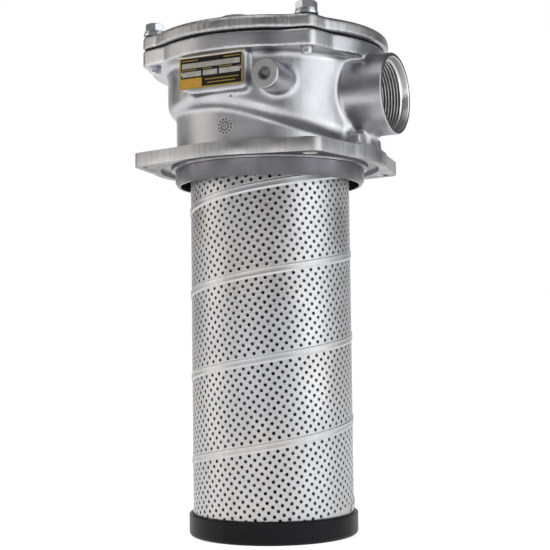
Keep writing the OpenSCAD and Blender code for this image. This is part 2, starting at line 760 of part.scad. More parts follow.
head_casting();
cover();
cover_seal();
at_bolt(1) bolt();  // cover_bolt_1
at_bolt(2) bolt();  // cover_bolt_2
at_bolt(3) bolt();  // cover_bolt_3
at_bolt(4) bolt();  // cover_bolt_4
at_bolt(1) plain_washer();  // plain_washer_1
at_bolt(2) plain_washer();  // plain_washer_2
at_bolt(3) plain_washer();  // plain_washer_3
at_bolt(4) plain_washer();  // plain_washer_4
at_bolt(1) lock_washer();  // lock_washer_1
at_bolt(2) lock_washer();  // lock_washer_2
at_bolt(3) lock_washer();  // lock_washer_3
at_bolt(4) lock_washer();  // lock_washer_4
gauge_port_plug();
nameplate();
nameplate_pin(plate_x0 + 2.5);  // nameplate_pin_1
nameplate_pin(plate_x0 + plate_w - 2.5);  // nameplate_pin_2
element_tube();
lock_seam();
element_core();
filter_pack();
upper_cap();
lower_cap();
element_ring();
hold_down_spring();
bypass_disc();
bypass_washer();
bypass_spring();
bypass_retainer();
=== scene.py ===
"""Looks for a tank top return line filter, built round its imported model."""

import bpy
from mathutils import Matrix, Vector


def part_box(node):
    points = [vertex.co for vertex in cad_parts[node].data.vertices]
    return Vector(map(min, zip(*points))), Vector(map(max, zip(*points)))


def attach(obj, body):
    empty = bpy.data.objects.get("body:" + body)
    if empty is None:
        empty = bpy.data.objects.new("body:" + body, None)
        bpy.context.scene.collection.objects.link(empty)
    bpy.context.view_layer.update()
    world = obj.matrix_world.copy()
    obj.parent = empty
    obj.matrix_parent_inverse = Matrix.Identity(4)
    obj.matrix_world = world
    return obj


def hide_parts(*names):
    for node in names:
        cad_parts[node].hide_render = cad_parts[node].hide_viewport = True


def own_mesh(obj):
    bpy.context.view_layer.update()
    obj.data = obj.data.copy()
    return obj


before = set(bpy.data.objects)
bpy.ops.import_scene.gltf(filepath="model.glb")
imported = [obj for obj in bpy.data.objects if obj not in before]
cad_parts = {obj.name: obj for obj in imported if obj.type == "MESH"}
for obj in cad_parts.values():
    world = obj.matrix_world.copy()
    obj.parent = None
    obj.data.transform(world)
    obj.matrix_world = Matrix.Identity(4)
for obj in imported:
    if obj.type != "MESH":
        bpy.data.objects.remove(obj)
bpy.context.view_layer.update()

import logging
import math
from dataclasses import dataclass, field
from enum import Enum
from typing import Callable, Iterable, Mapping, Sequence

import bmesh
import bpy
from mathutils import Matrix, Vector

BMesh = bmesh.types.BMesh
Colour = tuple[float, float, float]
Material = bpy.types.Material
Node = bpy.types.Node
Outline = Sequence[tuple[float, float]]
Point = tuple[float, float, float]
Socket = bpy.types.NodeSocket
Sockets = Mapping[str, Socket]
Tree = bpy.types.NodeTree

LOG = logging.getLogger("filter")
MM = 0.001
BODY = "filter"
CAD_WELD = 2e-7  # metres within which the split corners of a CAD mesh are one
SPIN_WELD = 1e-7  # the same for the poles and seams of a spun shape
STRIP_WELD = 0.01  # the same in mm for the cells of the flat strip
CUT_WELD = 2e-6  # the same in metres for the wound strip after it is cut to length

class Axis(Enum):
    """Directions in which the heights of a spun shape count, as turns from Z."""

    UP = ((1, 0, 0), (0, 1, 0), (0, 0, 1))
    TO_PORT = ((0, 0, 1), (0, 1, 0), (-1, 0, 0))
    TO_FRONT = ((1, 0, 0), (0, 0, -1), (0, 1, 0))


class Tone(Enum):
    """Colours of the nameplate's generic fields."""

    GOLD = (0.52, 0.36, 0.07)
    BLACK = (0.012, 0.010, 0.009)
    BLANK = (0.60, 0.58, 0.55)
    AMBER = (0.70, 0.40, 0.05)


# Node groups that several finishes share


class Net:
    """Short ways to place nodes in a shader tree."""

    def __init__(self, tree: Tree) -> None:
        """Keeps the tree.

        Args:
            tree: the tree that the nodes go into.
        """
        self.tree = tree

    def link(self, source: Socket, target: Socket) -> None:
        """Joins two sockets."""
        self.tree.links.new(source, target)

    def feed(self, socket: Socket, value: object) -> None:
        """Puts a value or another socket into a socket.

        Args:
            socket: the input.
            value: a socket to link, or a value to set. A colour needs only three parts.
        """
        if isinstance(value, Socket):
            self.link(value, socket)
        elif socket.type == "RGBA":
            socket.default_value = (*value[:3], 1.0)
        else:
            socket.default_value = value

    def feed_all(self, node: Node, **values: object) -> Node:
        """Feeds a node's inputs by name.

        Args:
            node: the node.
            values: what each input gets, with spaces in names written as underscores.

        Returns:
            The node.
        """
        for name, value in values.items():
            self.feed(node.inputs[name.replace("_", " ")], value)
        return node

    def node(self, kind: str, **values: object) -> Node:
        """Adds a node.

        Args:
            kind: the node's type.
            values: what its inputs get, as for feed_all.

        Returns:
            The node.
        """
        return self.feed_all(self.tree.nodes.new(kind), **values)

    def object_coords(self) -> Socket:
        """Returns the Object coordinates."""
        return self.node("ShaderNodeTexCoord").outputs["Object"]

    def scale(self, place: Socket, by: Point) -> Socket:
        """Returns coordinates stretched by a factor on each axis."""
        return self.node("ShaderNodeMapping", Vector=place, Scale=by).outputs["Vector"]

    def noise(self, place: Socket, scale: object, detail: float = 2.0) -> Socket:
        """Returns a noise value.

        Args:
            place: the coordinates.
            scale: a number or a socket.
            detail: number of octaves.

        Returns:
            The noise's value output.
        """
        made = self.node("ShaderNodeTexNoise", Vector=place, Scale=scale, Detail=detail)
        return made.outputs["Fac"]

    def noise_1d(self, along: Socket, scale: object) -> Socket:
        """Returns noise that changes along one value only.

        Args:
            along: the value.
            scale: a number or a socket.

        Returns:
            The noise's value output.
        """
        made = self.node("ShaderNodeTexNoise")
        made.noise_dimensions = "1D"
        return self.feed_all(made, W=along, Scale=scale, Detail=2.0).outputs["Fac"]

    def split(self, place: Socket) -> tuple[Socket, Socket, Socket]:
        """Returns the three parts of a vector."""
        made = self.node("ShaderNodeSeparateXYZ", Vector=place)
        return made.outputs[0], made.outputs[1], made.outputs[2]

    def math(self, kind: str, a: object, b: object = 0.0) -> Socket:
        """Places a math node.

        Args:
            kind: its operation.
            a: the first number or socket.
            b: the second one.

        Returns:
            The result.
        """
        made = self.node("ShaderNodeMath")
        made.operation = kind
        self.feed(made.inputs[0], a)
        self.feed(made.inputs[1], b)
        return made.outputs[0]

    def spread(self, value: object, low: float, high: float) -> Socket:
        """Returns value mapped from low..high to 0..1 and clamped."""
        made = self.node("ShaderNodeMapRange", Value=value, From_Min=low, From_Max=high)
        return made.outputs["Result"]

    def between(self, value: object, at_0: object, at_1: object) -> Socket:
        """Returns a number between two, by a factor of 0 to 1."""
        made = self.node("ShaderNodeMapRange", Value=value, To_Min=at_0, To_Max=at_1)
        return made.outputs["Result"]

    def blend(self, factor: object, a: object, b: object) -> Socket:
        """Mixes two colours.

        Args:
            factor: 0 for the first, 1 for the second.
            a: the first colour or its socket.
            b: the second one.

        Returns:
            The mixed colour.
        """
        made = self.node("ShaderNodeMix")
        made.data_type = "RGBA"
        # The places of the factor and of the two colours among a mix node's inputs
        for index, value in ((0, factor), (6, a), (7, b)):
            self.feed(made.inputs[index], value)
        return made.outputs[2]

    def bump(self, height: Socket, strength: float, distance: float) -> Socket:
        """Returns a normal bent by a height."""
        made = self.node("ShaderNodeBump", Strength=strength, Distance=distance, Height=height)
        return made.outputs["Normal"]

    def group(self, effect: Tree, **values: float) -> Sockets:
        """Places a shared effect with its own values.

        Args:
            effect: the node group.
            values: input values, as for feed_all.

        Returns:
            The outputs.
        """
        made = self.node("ShaderNodeGroup")
        made.node_tree = effect
        return self.feed_all(made, **values).outputs


class Effects:
    """Builds each shared shader effect once and hands it out by name."""

    def __init__(self) -> None:
        """Starts with no effect built."""
        self.made: dict[str, Tree] = {}

    def group(
        self,
        name: str,
        inputs: Mapping[str, float],
        outputs: Sequence[str],
        fill: Callable[[Net, Sockets], Sequence[Socket]],
    ) -> Tree:
        """Makes a node group, or returns it if it exists.

        Args:
            name: the effect's name.
            inputs: default value of each input.
            outputs: names of the float outputs.
            fill: takes the net and the inputs, and returns what each output gets.

        Returns:
            The node group.
        """
        if name in self.made:
            return self.made[name]
        tree = bpy.data.node_groups.new(name, "ShaderNodeTree")
        for label, value in inputs.items():
            socket = tree.interface.new_socket(
                label, in_out="INPUT", socket_type="NodeSocketFloat"
            )
            socket.default_value = value
        for label in outputs:
            tree.interface.new_socket(label, in_out="OUTPUT", socket_type="NodeSocketFloat")
        net = Net(tree)
        results = fill(net, net.node("NodeGroupInput").outputs)
        out = net.node("NodeGroupOutput")
        for label, result in zip(outputs, results):
            net.link(result, out.inputs[label])
        self.made[name] = tree
        return tree

    def cast_skin(self) -> Tree:
        """Builds the skin of a casting: fine grain, soft waves and darker patches.

        Returns:
            The node group.
        """

        def fill(net: Net, into: Sockets) -> Sequence[Socket]:
            """Builds the noise layers.

            Args:
                net: the group's net.
                into: the group's inputs.

            Returns:
                What each output gets.
            """
            place = net.object_coords()
            grain = net.noise(place, into["Grain"], detail=3.0)
            waves = net.noise(place, into["Waves"], detail=2.0)
            patches = net.noise(place, into["Patches"], detail=4.0)
            fine = net.math("MULTIPLY", grain, into["Grain Depth"])
            broad = net.math("MULTIPLY", waves, into["Wave Depth"])
            return (
                net.math("ADD", fine, broad),
                net.spread(patches, 0.35, 0.65),
                net.spread(grain, 0.3, 0.7),
            )

        inputs = {
            "Grain": 900.0, "Grain Depth": 0.3, "Waves": 60.0, "Wave Depth": 1.0, "Patches": 30.0
        }
        return self.group("cast_skin", inputs, ["Height", "Patch", "Speck"], fill)

    def tool_marks(self) -> Tree:
        """Builds fine turning marks about the Z axis, and a faint smear.

        Returns:
            The node group.
        """

        def fill(net: Net, into: Sockets) -> Sequence[Socket]:
            """Builds the rings and the smear.

            Args:
                net: the group's net.
                into: the group's inputs.

            Returns:
                What each output gets.
            """
            place = net.object_coords()
            x, y, z = net.split(place)
            square = net.math("ADD", net.math("MULTIPLY", x, x), net.math("MULTIPLY", y, y))
            slant = net.math("MULTIPLY", z, into["Slant"])
            along = net.math("ADD", net.math("SQRT", square), slant)
            smear = net.noise(place, into["Smear"], detail=2.0)
            return net.noise_1d(along, into["Marks"]), net.spread(smear, 0.35, 0.65)

        inputs = {"Marks": 2500.0, "Slant": 0.7, "Smear": 40.0}
        return self.group("tool_marks", inputs, ["Height", "Smear"], fill)

    def handling(self) -> Tree:
        """Builds smudges and scratches that a handled metal surface carries.

        Returns:
            The node group.
        """

        def fill(net: Net, into: Sockets) -> Sequence[Socket]:
            """Builds the smudges and the streaks.

            Args:
                net: the group's net.
                into: the group's inputs.

            Returns:
                What each output gets.
            """
            place = net.object_coords()
            smudge = net.noise(place, into["Smudges"], detail=5.0)
            stretched = net.scale(place, (1.0, 1.0, 0.12))
            streak = net.noise(stretched, into["Streaks"], detail=2.0)
            return net.spread(smudge, 0.4, 0.62), net.spread(streak, 0.45, 0.7)

        inputs = {"Smudges": 45.0, "Streaks": 500.0}
        return self.group("handling", inputs, ["Smudge", "Streak"], fill)


EFFECTS = Effects()


def principled(name: str) -> tuple[Material, Net, Node]:
    """Makes a material with only a Principled BSDF.

    Args:
        name: the material's name.

    Returns:
        The material, its net and the shader node.
    """
    made = bpy.data.materials.new(name)
    made.use_nodes = True
    made.node_tree.nodes.clear()
    net = Net(made.node_tree)
    shader = net.node("ShaderNodeBsdfPrincipled")
    net.node("ShaderNodeOutputMaterial", Surface=shader.outputs["BSDF"])
    return made, net, shader


def scaled(colour: Colour, by: float, plus: float = 0.0) -> Colour:
    """Returns a colour made lighter or darker."""
    return tuple(part * by + plus for part in colour)


# Finishes


class Finish:
    """A finish. Each kind has a name and says what its shader's inputs get."""

    name: str

    def inputs(self, net: Net) -> dict[str, object]:
        """Returns a value or a socket for each input, with underscores in the names."""
        raise NotImplementedError

    def material(self) -> Material:
        """Builds the material.

        Returns:
            The material.
        """
        made, net, shader = principled(self.name)
        net.feed_all(shader, **self.inputs(net))
        return made


@dataclass(frozen=True)
class CastAluminium(Finish):
    """Die-cast aluminium with a fine grain."""

    name: str = "cast_aluminium"
    light: Colour = (0.56, 0.565, 0.58)
    dark: Colour = (0.43, 0.432, 0.45)
    rough_low: float = 0.32
    rough_high: float = 0.45
    grain_depth: float = 0.5
    marks: float = 0.0

    def inputs(self, net: Net) -> dict[str, object]:
        """Builds the nodes of the finish.

        Args:
            net: the material's net.

        Returns:
            What the shader's inputs get.
        """
        skin = net.group(
            EFFECTS.cast_skin(), Grain=1100.0, Grain_Depth=self.grain_depth,
            Waves=70.0, Wave_Depth=1.2, Patches=28.0,
        )
        wear = net.group(EFFECTS.handling(), Smudges=38.0, Streaks=420.0)
        tone = net.blend(skin["Patch"], self.dark, self.light)
        tone = net.blend(net.math("MULTIPLY", skin["Speck"], 0.25), tone, (0.30, 0.30, 0.31))
        height = skin["Height"]
        if self.marks:
            streak = wear["Streak"]
            tone = net.blend(net.math("MULTIPLY", streak, self.marks), tone, (0.26, 0.26, 0.27))
            height = net.math("ADD", height, net.math("MULTIPLY", streak, -2.0 * self.marks))
        return dict(
            Base_Color=tone, Metallic=1.0,
            Roughness=net.between(wear["Smudge"], self.rough_low, self.rough_high),
            Normal=net.bump(height, 0.5, 0.00014),
        )


@dataclass(frozen=True)
class TurnedAluminium(Finish):
    """Turned aluminium with tool marks."""

    name: str = "turned_aluminium_shaded"
    # Kept dark as painted shade for the flange's underside; the nameplate's plate and the port's
    # face ring share this tone
    colour: Colour = (0.28, 0.282, 0.30)
    rough: float = 0.28
    metal: float = 1.0

    def inputs(self, net: Net) -> dict[str, object]:
        """Builds the nodes of the finish.

        Args:
            net: the material's net.

        Returns:
            What the shader's inputs get.
        """
        marks = net.group(EFFECTS.tool_marks(), Marks=2600.0, Slant=0.8, Smear=50.0)
        return dict(
            Metallic=self.metal,
            Base_Color=net.blend(marks["Smear"], self.colour, scaled(self.colour, 0.8)),
            Roughness=net.between(marks["Smear"], self.rough, self.rough + 0.1),
            Normal=net.bump(marks["Height"], 0.25, 0.00006),
        )


@dataclass(frozen=True)
class PlatedSteel(Finish):
    """Zinc or tin plated steel sheet and fasteners."""

    name: str
    colour: Colour
    tint: Colour
    rough: float = 0.27
    metal: float = 1.0

    def inputs(self, net: Net) -> dict[str, object]:
        """Builds the nodes of the finish.

        Args:
            net: the material's net.

        Returns:
            What the shader's inputs get.
        """
        wear = net.group(EFFECTS.handling(), Smudges=26.0, Streaks=300.0)
        skin = net.group(
            EFFECTS.cast_skin(), Grain=1500.0, Grain_Depth=0.15, Waves=160.0,
            Wave_Depth=0.35, Patches=14.0,
        )
        base = net.blend(skin["Patch"], self.colour, self.tint)
        streak = net.math("MULTIPLY", wear["Streak"], 0.25)
        return dict(
            Metallic=self.metal,
            Base_Color=net.blend(streak, base, scaled(self.colour, 0.72)),
            Roughness=net.between(wear["Smudge"], self.rough, self.rough + 0.12),
            Normal=net.bump(skin["Height"], 0.2, 0.0001),
        )


@dataclass(frozen=True)
class BlackFinish(Finish):
    """Black enamel, moulding or rubber with a fine texture."""

    name: str
    colour: Colour
    rough: float
    shine: float

    def inputs(self, net: Net) -> dict[str, object]:
        """Builds the nodes of the finish.

        Args:
            net: the material's net.

        Returns:
            What the shader's inputs get.
        """
        skin = net.group(
            EFFECTS.cast_skin(), Grain=900.0, Grain_Depth=0.5, Waves=120.0,
            Wave_Depth=0.4, Patches=35.0,
        )
        return dict(
            Specular_IOR_Level=self.shine,
            Base_Color=net.blend(skin["Patch"], self.colour, scaled(self.colour, 1.7, 0.002)),
            Roughness=net.between(skin["Speck"], self.rough - 0.06, self.rough + 0.1),
            Normal=net.bump(skin["Height"], 0.3, 0.0001),
        )


@dataclass(frozen=True)
class FilterCloth(Finish):
    """Pleated glass fibre cloth under a fine wire mesh."""

    name: str = "filter_cloth"
    colour: Colour = (0.60, 0.61, 0.62)
    wire: Colour = (0.82, 0.83, 0.82)
    radius: float = 0.05715
    half_cell: float = 0.0006
    wire_edge: tuple[float, float] = (0.00035, 0.0005)

    def inputs(self, net: Net) -> dict[str, object]:
        """Builds the nodes of the finish.

        Args:
            net: the material's net.

        Returns:
            What the shader's inputs get.
        """
        x, y, z = net.split(net.object_coords())
        turn = net.math("MULTIPLY", net.math("ARCTAN2", y, x), self.radius)
        rows, columns = (
            net.spread(net.math("PINGPONG", along, self.half_cell), *self.wire_edge)
            for along in (z, turn)
        )
        mesh = net.math("MAXIMUM", rows, columns)
        skin = net.group(EFFECTS.cast_skin(), Grain=700.0, Patches=200.0)
        tone = net.blend(skin["Patch"], self.colour, scaled(self.colour, 1.3))
        return dict(
            Base_Color=net.blend(mesh, tone, self.wire), Roughness=0.6,
            Normal=net.bump(mesh, 0.6, 0.0003),
        )


@dataclass(frozen=True)
class PlatePrint(Finish):
    """Printed foil of the nameplate, one flat tone with a soft sheen."""

    tone: Tone

    @property
    def name(self) -> str:
        """Returns the material's name."""
        return f"plate_{self.tone.name.lower()}"

    def inputs(self, net: Net) -> dict[str, object]:
        """Builds the nodes of the finish.

        Args:
            net: the material's net.

        Returns:
            What the shader's inputs get.
        """
        skin = net.group(
            EFFECTS.cast_skin(), Grain=600.0, Grain_Depth=0.2, Waves=90.0,
            Wave_Depth=0.5, Patches=160.0,
        )
        colour = self.tone.value
        return dict(
            Metallic=0.35,
            Base_Color=net.blend(skin["Patch"], colour, scaled(colour, 0.78)),
            Roughness=net.between(skin["Speck"], 0.3, 0.42),
            Normal=net.bump(skin["Height"], 0.15, 0.00008),
        )


def entry(finish: Finish) -> Material:
    """Returns a palette field that builds a finish's material."""
    return field(default_factory=finish.material)


@dataclass
class Palette:
    """Every material of the object, made once."""

    cast: Material = entry(CastAluminium())
    cover: Material = entry(
        CastAluminium("cover_aluminium", (0.56,) * 3, (0.42,) * 3, 0.34, 0.48, 0.9, marks=0.6)
    )
    flange: Material = entry(
        CastAluminium(
            "flange_aluminium", (0.58, 0.575, 0.57), (0.38, 0.38, 0.39), 0.34, 0.5, 0.9, marks=0.35
        )
    )
    # Darker copy of the cast finish for the port's outside: painted shade
    port: Material = entry(
        CastAluminium("port_painted_shade_aluminium", (0.45, 0.452, 0.475), (0.34, 0.342, 0.36))
    )
    # Darker copy of the cast finish for the dial's sunk disc and the cast dot: painted shade
    shaded_recess: Material = entry(
        CastAluminium("recess_painted_shade", (0.27, 0.27, 0.28), (0.20, 0.20, 0.21))
    )
    # Much lighter copy of the cast finish for the dial's raised marks: painted highlight
    raised_lit: Material = entry(
        CastAluminium("raised_painted_highlight", (0.88, 0.885, 0.90), (0.78, 0.78, 0.80))
    )
    turned: Material = entry(TurnedAluminium())
    # Near-black turned finish for the spigot: painted shade under the flange
    spigot_shade: Material = entry(TurnedAluminium("spigot_painted_shade", (0.13, 0.13, 0.14), 0.24))
    faced: Material = entry(TurnedAluminium("faced_aluminium", (0.60, 0.595, 0.60), 0.36))
    bore: Material = entry(TurnedAluminium("bored_aluminium", (0.66, 0.66, 0.65), 0.27, 0.92))
    # Near-black finish for the bore behind the thread: painted shade in the thread's roots
    thread_root_shade: Material = entry(TurnedAluminium("thread_root_painted_shade", (0.09, 0.09, 0.09), 0.3))
    sheet: Material = entry(
        PlatedSteel("tinned_sheet", (0.61, 0.605, 0.595), (0.57, 0.585, 0.61), 0.38, 0.75)
    )
    zinc: Material = entry(PlatedSteel("zinc_plate", (0.64, 0.66, 0.68), (0.60, 0.62, 0.66), 0.24))
    spring: Material = entry(
        PlatedSteel("spring_wire", (0.42, 0.43, 0.45), (0.36, 0.37, 0.38), 0.3)
    )
    plug: Material = entry(PlatedSteel("plug_steel", (0.40, 0.40, 0.42), (0.34, 0.34, 0.35), 0.34))
    rubber: Material = entry(BlackFinish("black_rubber", (0.006, 0.006, 0.006), 0.65, 0.12))
    cap: Material = entry(BlackFinish("black_cap", (0.005, 0.005, 0.006), 0.36, 0.13))
    cloth: Material = entry(FilterCloth())


# Mesh helpers


def everything(bm: BMesh) -> list[object]:
    """Returns all vertices, edges and faces."""
    return bm.verts[:] + bm.edges[:] + bm.faces[:]


def only_verts(geom: Iterable[object]) -> list[bmesh.types.BMVert]:
    """Returns the vertices among an operator's results."""
    return [g for g in geom if isinstance(g, bmesh.types.BMVert)]


def cad_copy(node: str) -> BMesh:
    """Copies a CAD node's mesh in metres, with its split corners merged.

    Args:
        node: the node's name.

    Returns:
        The copy.
    """
    bm = bmesh.new()
    bm.from_mesh(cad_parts[node].data)
    bmesh.ops.remove_doubles(bm, verts=bm.verts, dist=CAD_WELD)
    return bm


def to_data(name: str, bm: BMesh) -> bpy.types.Mesh:
    """Makes mesh data of a bmesh.

    Args:
        name: the data's name.
        bm: the bmesh, which is freed.

    Returns:
        The data.
    """
    data = bpy.data.meshes.new(name)
    bm.to_mesh(data)
    bm.free()
    return data


def in_scene(name: str, data: bpy.types.ID) -> bpy.types.Object:
    """Makes an object of the scene.

    Args:
        name: the object's name.
        data: the mesh, camera or lamp that it shows.

    Returns:
        The object.
    """
    made = bpy.data.objects.new(name, data)
    bpy.context.scene.collection.objects.link(made)
    return made


def new_piece(
    name: str,
    bm: BMesh,
    materials: Iterable[Material],
    smooth_deg: float | None = 40.0,
    body: str = BODY,
) -> bpy.types.Object:
    """Turns a bmesh in metres into a piece that rides on a body.

    Args:
        name: the piece's name.
        bm: the shape, which is freed.
        materials: its materials in slot order.
        smooth_deg: smooth shading up to this angle, or None for flat faces.
        body: the body that it rides on.

    Returns:
        The object.
    """
    data = to_data(name, bm)
    for made in materials:
        data.materials.append(made)
    piece = in_scene(name, data)
    if smooth_deg is not None:
        data.shade_smooth()
        data.set_sharp_from_angle(angle=math.radians(smooth_deg))
    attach(piece, body)
    LOG.info("%s: %d faces", name, len(data.polygons))
    return piece


def settle(
    bm: BMesh, old: set[object], centre: Point, axis: Axis, material: int
) -> list[bmesh.types.BMVert]:
    """Welds a newly spun shape, turns it to its axis and faces it outward.

    Args:
        bm: the mesh.
        old: the vertices and faces that were there before.
        centre: a point on the axis, in mm.
        axis: the direction in which heights count.
        material: material index of the new faces.

    Returns:
        The new vertices.
    """
    made = [v for v in bm.verts if v not in old]
    bmesh.ops.remove_doubles(bm, verts=made, dist=SPIN_WELD)
    made = [v for v in bm.verts if v not in old]
    bmesh.ops.transform(
        bm, matrix=Matrix.Translation(Vector(centre) * MM) @ Matrix(axis.value).to_4x4(), verts=made
    )
    faces = [f for f in bm.faces if f not in old]
    for face in faces:
        face.material_index = material
    bmesh.ops.recalc_face_normals(bm, faces=faces)
    return made


def lathe(
    bm: BMesh,
    profile: Outline,
    steps: int = 128,
    closed: bool = True,
    centre: Point = (0.0, 0.0, 0.0),
    axis: Axis = Axis.UP,
    material: int = 0,
) -> list[bmesh.types.BMVert]:
    """Spins a profile of (radius, height) in mm round an axis.

    Args:
        bm: the mesh to add to.
        profile: points in mm.
        steps: segments of the full turn.
        closed: joins the last point to the first.
        centre: a point on the axis, in mm.
        axis: the direction in which heights count.
        material: material index of the new faces.

    Returns:
        The new vertices.
    """
    old = {*bm.verts, *bm.faces}
    ring = [bm.verts.new(Vector((r, 0, h)) * MM) for r, h in profile]
    edges = [bm.edges.new((a, b)) for a, b in zip(ring, ring[1:])]
    if closed:
        edges.append(bm.edges.new((ring[-1], ring[0])))
    bmesh.ops.spin(
        bm, geom=ring + edges, cent=(0, 0, 0), axis=(0, 0, 1), angle=math.tau,
        steps=steps, use_merge=True,
    )
    return settle(bm, old, centre, axis, material)


def winding(
    bm: BMesh,
    section: Outline,
    pitch: float,
    turns: float,
    start_deg: float,
    start: float,
    steps_per_turn: int = 64,
    centre: Point = (0.0, 0.0, 0.0),
    axis: Axis = Axis.UP,
) -> None:
    """Winds a section of (radius, height) in mm into a helix with closed ends.

    Args:
        bm: the mesh to add to.
        section: the section's outline.
        pitch: climb of one turn.
        turns: number of turns.
        start_deg: angle of the first section.
        start: height of the first section.
        steps_per_turn: segments of one turn.
        centre: a point on the axis.
        axis: the direction of the climb.
    """
    old = {*bm.verts, *bm.faces}
    spun = Matrix.Rotation(math.radians(start_deg), 3, "Z")
    ring = [bm.verts.new(spun @ (Vector((r, 0, start + h)) * MM)) for r, h in section]
    cap = bm.faces.new(ring)
    steps = max(8, round(steps_per_turn * turns))
    bmesh.ops.spin(
        bm, geom=[cap, *cap.edges, *cap.verts], cent=(0, 0, 0), axis=(0, 0, 1),
        dvec=(0, 0, pitch * turns / steps * MM), angle=math.tau * turns, steps=steps,
        use_duplicate=False,
    )
    settle(bm, old, centre, axis, 0)


def prism(bm: BMesh, outline: Outline, low: float, high: float) -> None:
    """Adds a straight prism along X, from an outline of (y, z) in mm.

    Args:
        bm: the mesh to add to.
        outline: the corners in order.
        low: x of one end.
        high: x of the other end.
    """
    ring = [bm.verts.new(Vector((low, y, z)) * MM) for y, z in outline]
    made = bmesh.ops.extrude_face_region(bm, geom=[bm.faces.new(ring)])["geom"]
    bmesh.ops.translate(bm, verts=only_verts(made), vec=((high - low) * MM, 0, 0))
    bmesh.ops.recalc_face_normals(bm, faces=bm.faces)


def voxel_copy(node: str, voxel: float, cut: BMesh | None = None) -> BMesh:
    """Returns a node's solid rebuilt with even faces, ready for soft edges.

    Args:
        node: the CAD node.
        voxel: face size in mm.
        cut: a closed shape that is cut away first, which is freed.

    Returns:
        The new mesh, in metres.
    """
    helper = in_scene(f"{node}_raw", to_data(f"{node}_raw", cad_copy(node)))
    spent = [helper]
    if cut is not None:
        tool = in_scene(f"{node}_cut", to_data(f"{node}_cut", cut))
        away = helper.modifiers.new("away", "BOOLEAN")
        away.operation, away.solver, away.object = "DIFFERENCE", "EXACT", tool
        spent.append(tool)
    remesh = helper.modifiers.new("even", "REMESH")
    remesh.mode = "VOXEL"
    remesh.voxel_size = voxel * MM
    remesh.adaptivity = 0.0
    graph = bpy.context.evaluated_depsgraph_get()
    made = bmesh.new()
    made.from_mesh(helper.evaluated_get(graph).data)
    for thing in spent:
        data = thing.data
        bpy.data.objects.remove(thing)
        bpy.data.meshes.remove(data)
    return made


def soften(bm: BMesh, wanted: Callable[[Vector], bool], rounds: int) -> None:
    """Smooths the vertices that a test picks.

    Args:
        bm: the mesh.
        wanted: takes a place in mm and says whether it is smoothed.
        rounds: number of passes, each of which goes half the way to the mean.
    """
    picked = [v for v in bm.verts if wanted(v.co / MM)]
    for _ in range(rounds):
        bmesh.ops.smooth_vert(
            bm, verts=picked, factor=0.5, use_axis_x=True, use_axis_y=True, use_axis_z=True
        )


def dress(node: str, finish: Material) -> None:
    """Gives a CAD node its finish.

    Args:
        node: the node's name.
        finish: its only material.
    """
    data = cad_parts[node].data
    data.materials.clear()
    data.materials.append(finish)
    LOG.info("%s: finish %s", node, finish.name)


# Sub-assemblies


